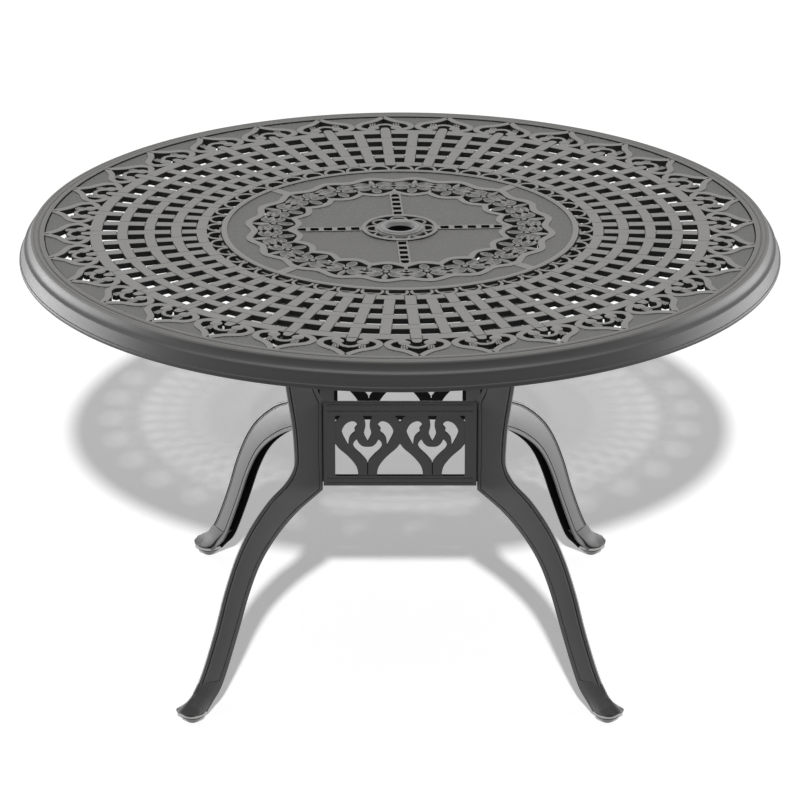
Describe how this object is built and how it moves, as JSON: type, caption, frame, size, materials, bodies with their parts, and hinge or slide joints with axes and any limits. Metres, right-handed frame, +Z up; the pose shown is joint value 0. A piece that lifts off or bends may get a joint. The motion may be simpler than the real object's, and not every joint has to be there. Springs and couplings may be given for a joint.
{
  "type": "umbrella table",
  "caption": "Round cast-metal patio dining table with an openwork top, a middle hole for a parasol pole and four curved legs joined by pierced aprons.",
  "frame": {"origin": "on the floor, straight under the middle of the round top", "axes": "+Z up; -Y towards the front, so that one apron faces -Y; the legs stand on the diagonals"},
  "size_m": [1.2, 1.2, 0.7092],
  "materials": {
    "casting": "satin dark grey powder coat, with a finely pebbled ground between raised strips",
    "rim": "smooth satin dark grey powder coat",
    "base": "smooth satin dark grey powder coat",
    "collar": "satin machined and coated aluminium",
    "hardware": "zinc-plated steel",
    "glide": "black nylon"
  },
  "bodies": {
    "table": {"top_rim": "rim", "lattice_left": "casting", "lattice_front": "casting", "lattice_right": "casting", "lattice_rear": "casting", "medallion": "casting", "umbrella_collar": "collar", "leg_rear_right": "base", "brace_rear_right": "base", "leg_rear_left": "base", "brace_rear_left": "base", "leg_front_left": "base", "brace_front_left": "base", "leg_front_right": "base", "brace_front_right": "base", "apron_right": "base", "apron_rear": "base", "apron_left": "base", "apron_front": "base", "corner_bolt_rear_right_lower": "hardware", "corner_bolt_rear_right_upper": "hardware", "corner_bolt_rear_left_lower": "hardware", "corner_bolt_rear_left_upper": "hardware", "corner_bolt_front_left_lower": "hardware", "corner_bolt_front_left_upper": "hardware", "corner_bolt_front_right_lower": "hardware", "corner_bolt_front_right_upper": "hardware", "top_bolt_rear_right_a": "hardware", "top_bolt_rear_right_b": "hardware", "top_bolt_rear_left_a": "hardware", "top_bolt_rear_left_b": "hardware", "top_bolt_front_left_a": "hardware", "top_bolt_front_left_b": "hardware", "top_bolt_front_right_a": "hardware", "top_bolt_front_right_b": "hardware", "casting_screw_left_1": "hardware", "casting_screw_left_2": "hardware", "casting_screw_left_3": "hardware", "casting_screw_front_1": "hardware", "casting_screw_front_2": "hardware", "casting_screw_front_3": "hardware", "casting_screw_right_1": "hardware", "casting_screw_right_2": "hardware", "casting_screw_right_3": "hardware", "casting_screw_rear_1": "hardware", "casting_screw_rear_2": "hardware", "casting_screw_rear_3": "hardware"},
    "foot_glide_rear_right": {"glide_rear_right": "glide"},
    "foot_glide_rear_left": {"glide_rear_left": "glide"},
    "foot_glide_front_left": {"glide_front_left": "glide"},
    "foot_glide_front_right": {"glide_front_right": "glide"}
  },
  "joints": [
    {"name": "glide_rear_right_screw", "type": "slide", "parent": "table", "child": "foot_glide_rear_right", "axis": [0, 0, -1], "range_m": [0, 0.01]},
    {"name": "glide_rear_left_screw", "type": "slide", "parent": "table", "child": "foot_glide_rear_left", "axis": [0, 0, -1], "range_m": [0, 0.01]},
    {"name": "glide_front_left_screw", "type": "slide", "parent": "table", "child": "foot_glide_front_left", "axis": [0, 0, -1], "range_m": [0, 0.01]},
    {"name": "glide_front_right_screw", "type": "slide", "parent": "table", "child": "foot_glide_front_right", "axis": [0, 0, -1], "range_m": [0, 0.01]}
  ]
}
